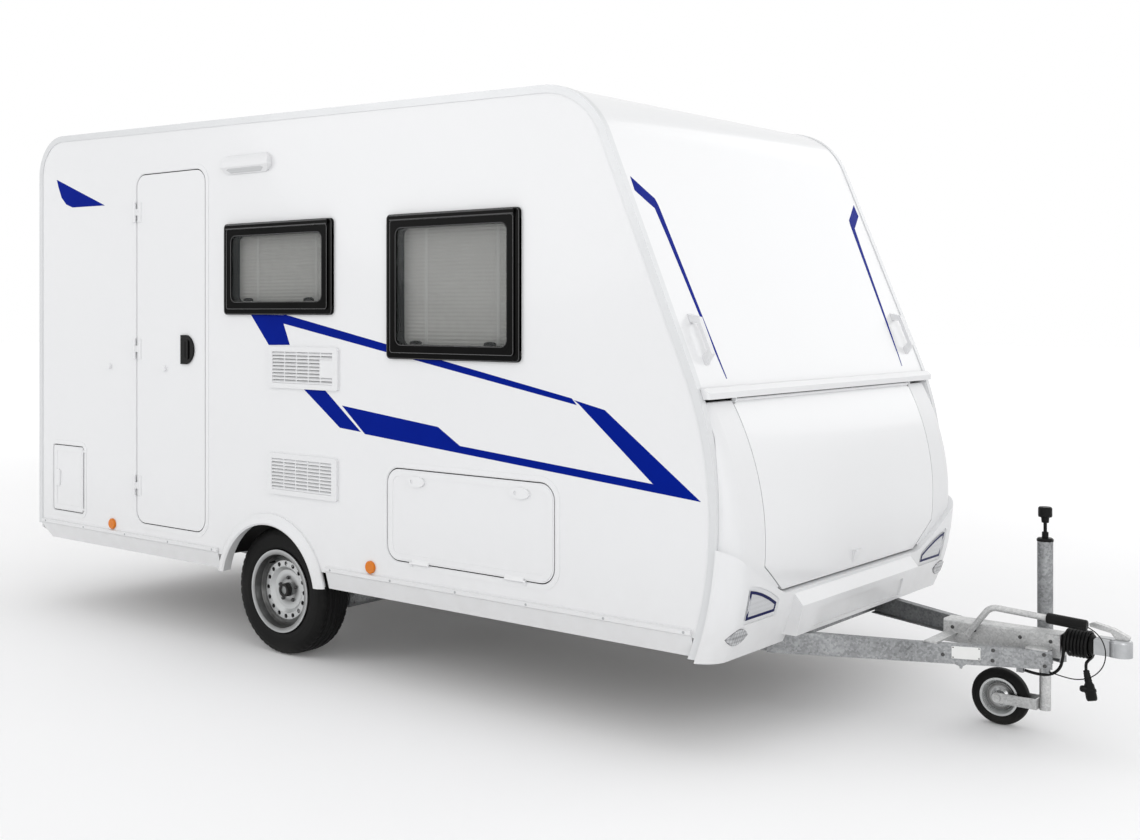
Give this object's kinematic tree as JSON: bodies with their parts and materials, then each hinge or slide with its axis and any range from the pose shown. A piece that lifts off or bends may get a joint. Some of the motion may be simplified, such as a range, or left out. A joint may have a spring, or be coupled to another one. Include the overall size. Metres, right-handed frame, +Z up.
{
  "type": "travel caravan",
  "caption": "Compact single-axle travel caravan with raked front, hinged entrance door, front gas-locker lid, side hatches, A-frame drawbar, ball coupling and jockey wheel.",
  "frame": {"origin": "on the ground under the middle of the overall box", "axes": "+X forward to the hitch, +Y to the left side, +Z up"},
  "size_m": [5.4199, 2.11, 2.6121],
  "materials": {
    "white_panel": "smooth glossy white skin on a sandwich panel",
    "white_trim": "satin white moulding",
    "floor_board": "coated plywood",
    "black_plastic": "fine grained black plastic",
    "tinted_pane": "grey tinted acrylic",
    "smoked_dome": "milky acrylic",
    "blind_cloth": "pleated pale cloth",
    "clear_lens": "clear moulded lens",
    "reflector_white": "prismatic reflector",
    "red_lens": "red moulded lens",
    "amber_lens": "amber moulded lens",
    "galvanised": "dull galvanised steel",
    "cast_grey": "painted casting",
    "silver_rim": "silver painted steel",
    "tyre_rubber": "dull black rubber",
    "black_rubber": "soft black rubber",
    "grey_plastic": "moulded grey plastic"
  },
  "bodies": {
    "body": {"wall_right": "white_panel", "wall_left": "white_panel", "roof_panel": "white_panel", "rear_panel": "white_panel", "front_panel": "white_panel", "floor_panel": "floor_board", "bulkhead": "floor_board", "edge_trims": "white_trim", "front_corners": "white_panel", "front_bumper": "white_panel", "front_reflectors": "reflector_white", "front_lamps": "clear_lens", "hinge_rail": "white_trim", "side_skirts": "white_trim", "wheel_arches": "white_trim", "wheel_boxes": "black_plastic", "window_frames": "black_plastic", "window_panes": "tinted_pane", "window_blinds": "blind_cloth", "fridge_grilles": "white_trim", "awning_lamp": "white_trim", "side_markers": "amber_lens", "grab_handles": "white_trim", "rooflight_frame": "white_trim", "rooflight_dome": "smoked_dome", "rear_bumper": "white_panel", "rear_lamps": "red_lens", "chassis_rails": "galvanised", "drawbar_arms": "galvanised", "cross_members": "galvanised", "axle_beam": "galvanised", "swing_arms": "galvanised", "overrun_housing": "galvanised", "coupling_head": "cast_grey", "draw_bellows": "black_rubber", "coupling_handle": "black_plastic", "brake_lever": "galvanised", "brake_grip": "black_rubber", "jockey_tube": "galvanised", "jockey_handle": "black_plastic", "jockey_clamp": "galvanised", "corner_steadies": "galvanised", "lead_run": "black_rubber", "lead_coil": "black_rubber", "lead_plug": "black_plastic", "breakaway_cable": "galvanised"},
    "entrance_door": {"door_panel": "white_panel", "door_handle": "black_plastic"},
    "locker_lid": {"locker_lid": "white_panel"},
    "side_hatch": {"side_hatch": "white_panel"},
    "cassette_hatch": {"cassette_hatch": "white_panel"},
    "wheel_right": {"rim_right": "silver_rim", "tyre_right": "tyre_rubber", "drum_right": "cast_grey"},
    "wheel_left": {"rim_left": "silver_rim", "tyre_left": "tyre_rubber", "drum_left": "cast_grey"},
    "jockey_fork": {"jockey_fork": "galvanised"},
    "jockey_wheel": {"jockey_rim": "grey_plastic", "jockey_tyre": "tyre_rubber"}
  },
  "joints": [
    {"name": "door_hinge", "type": "hinge", "parent": "body", "child": "entrance_door", "pos_m": [-1.796, -1.039, 1.4255], "axis": [0, 0, -1], "range_deg": [0, 175]},
    {"name": "lid_hinge", "type": "hinge", "parent": "body", "child": "locker_lid", "pos_m": [1.54589, 0, 1.29], "axis": [0, -1, 0], "range_deg": [0, 85]},
    {"name": "side_hatch_hinge", "type": "hinge", "parent": "body", "child": "side_hatch", "pos_m": [0.4415, -1.032, 0.547], "axis": [1, 0, 0], "range_deg": [0, 160]},
    {"name": "cassette_hatch_hinge", "type": "hinge", "parent": "body", "child": "cassette_hatch", "pos_m": [-2.267, -1.032, 0.7065], "axis": [0, 0, -1], "range_deg": [-160, 0]},
    {"name": "wheel_right_spin", "type": "hinge", "parent": "body", "child": "wheel_right", "pos_m": [-0.763, -0.879, 0.3], "axis": [0, 1, 0], "continuous": true},
    {"name": "wheel_left_spin", "type": "hinge", "parent": "body", "child": "wheel_left", "pos_m": [-0.763, 0.879, 0.3], "axis": [0, 1, 0], "continuous": true},
    {"name": "jockey_swivel", "type": "hinge", "parent": "body", "child": "jockey_fork", "pos_m": [2.355, 0.16, 0.3], "axis": [0, 0, 1], "continuous": true},
    {"name": "jockey_spin", "type": "hinge", "parent": "jockey_fork", "child": "jockey_wheel", "pos_m": [2.187, 0.16, 0.11], "axis": [0, 1, 0], "continuous": true}
  ]
}
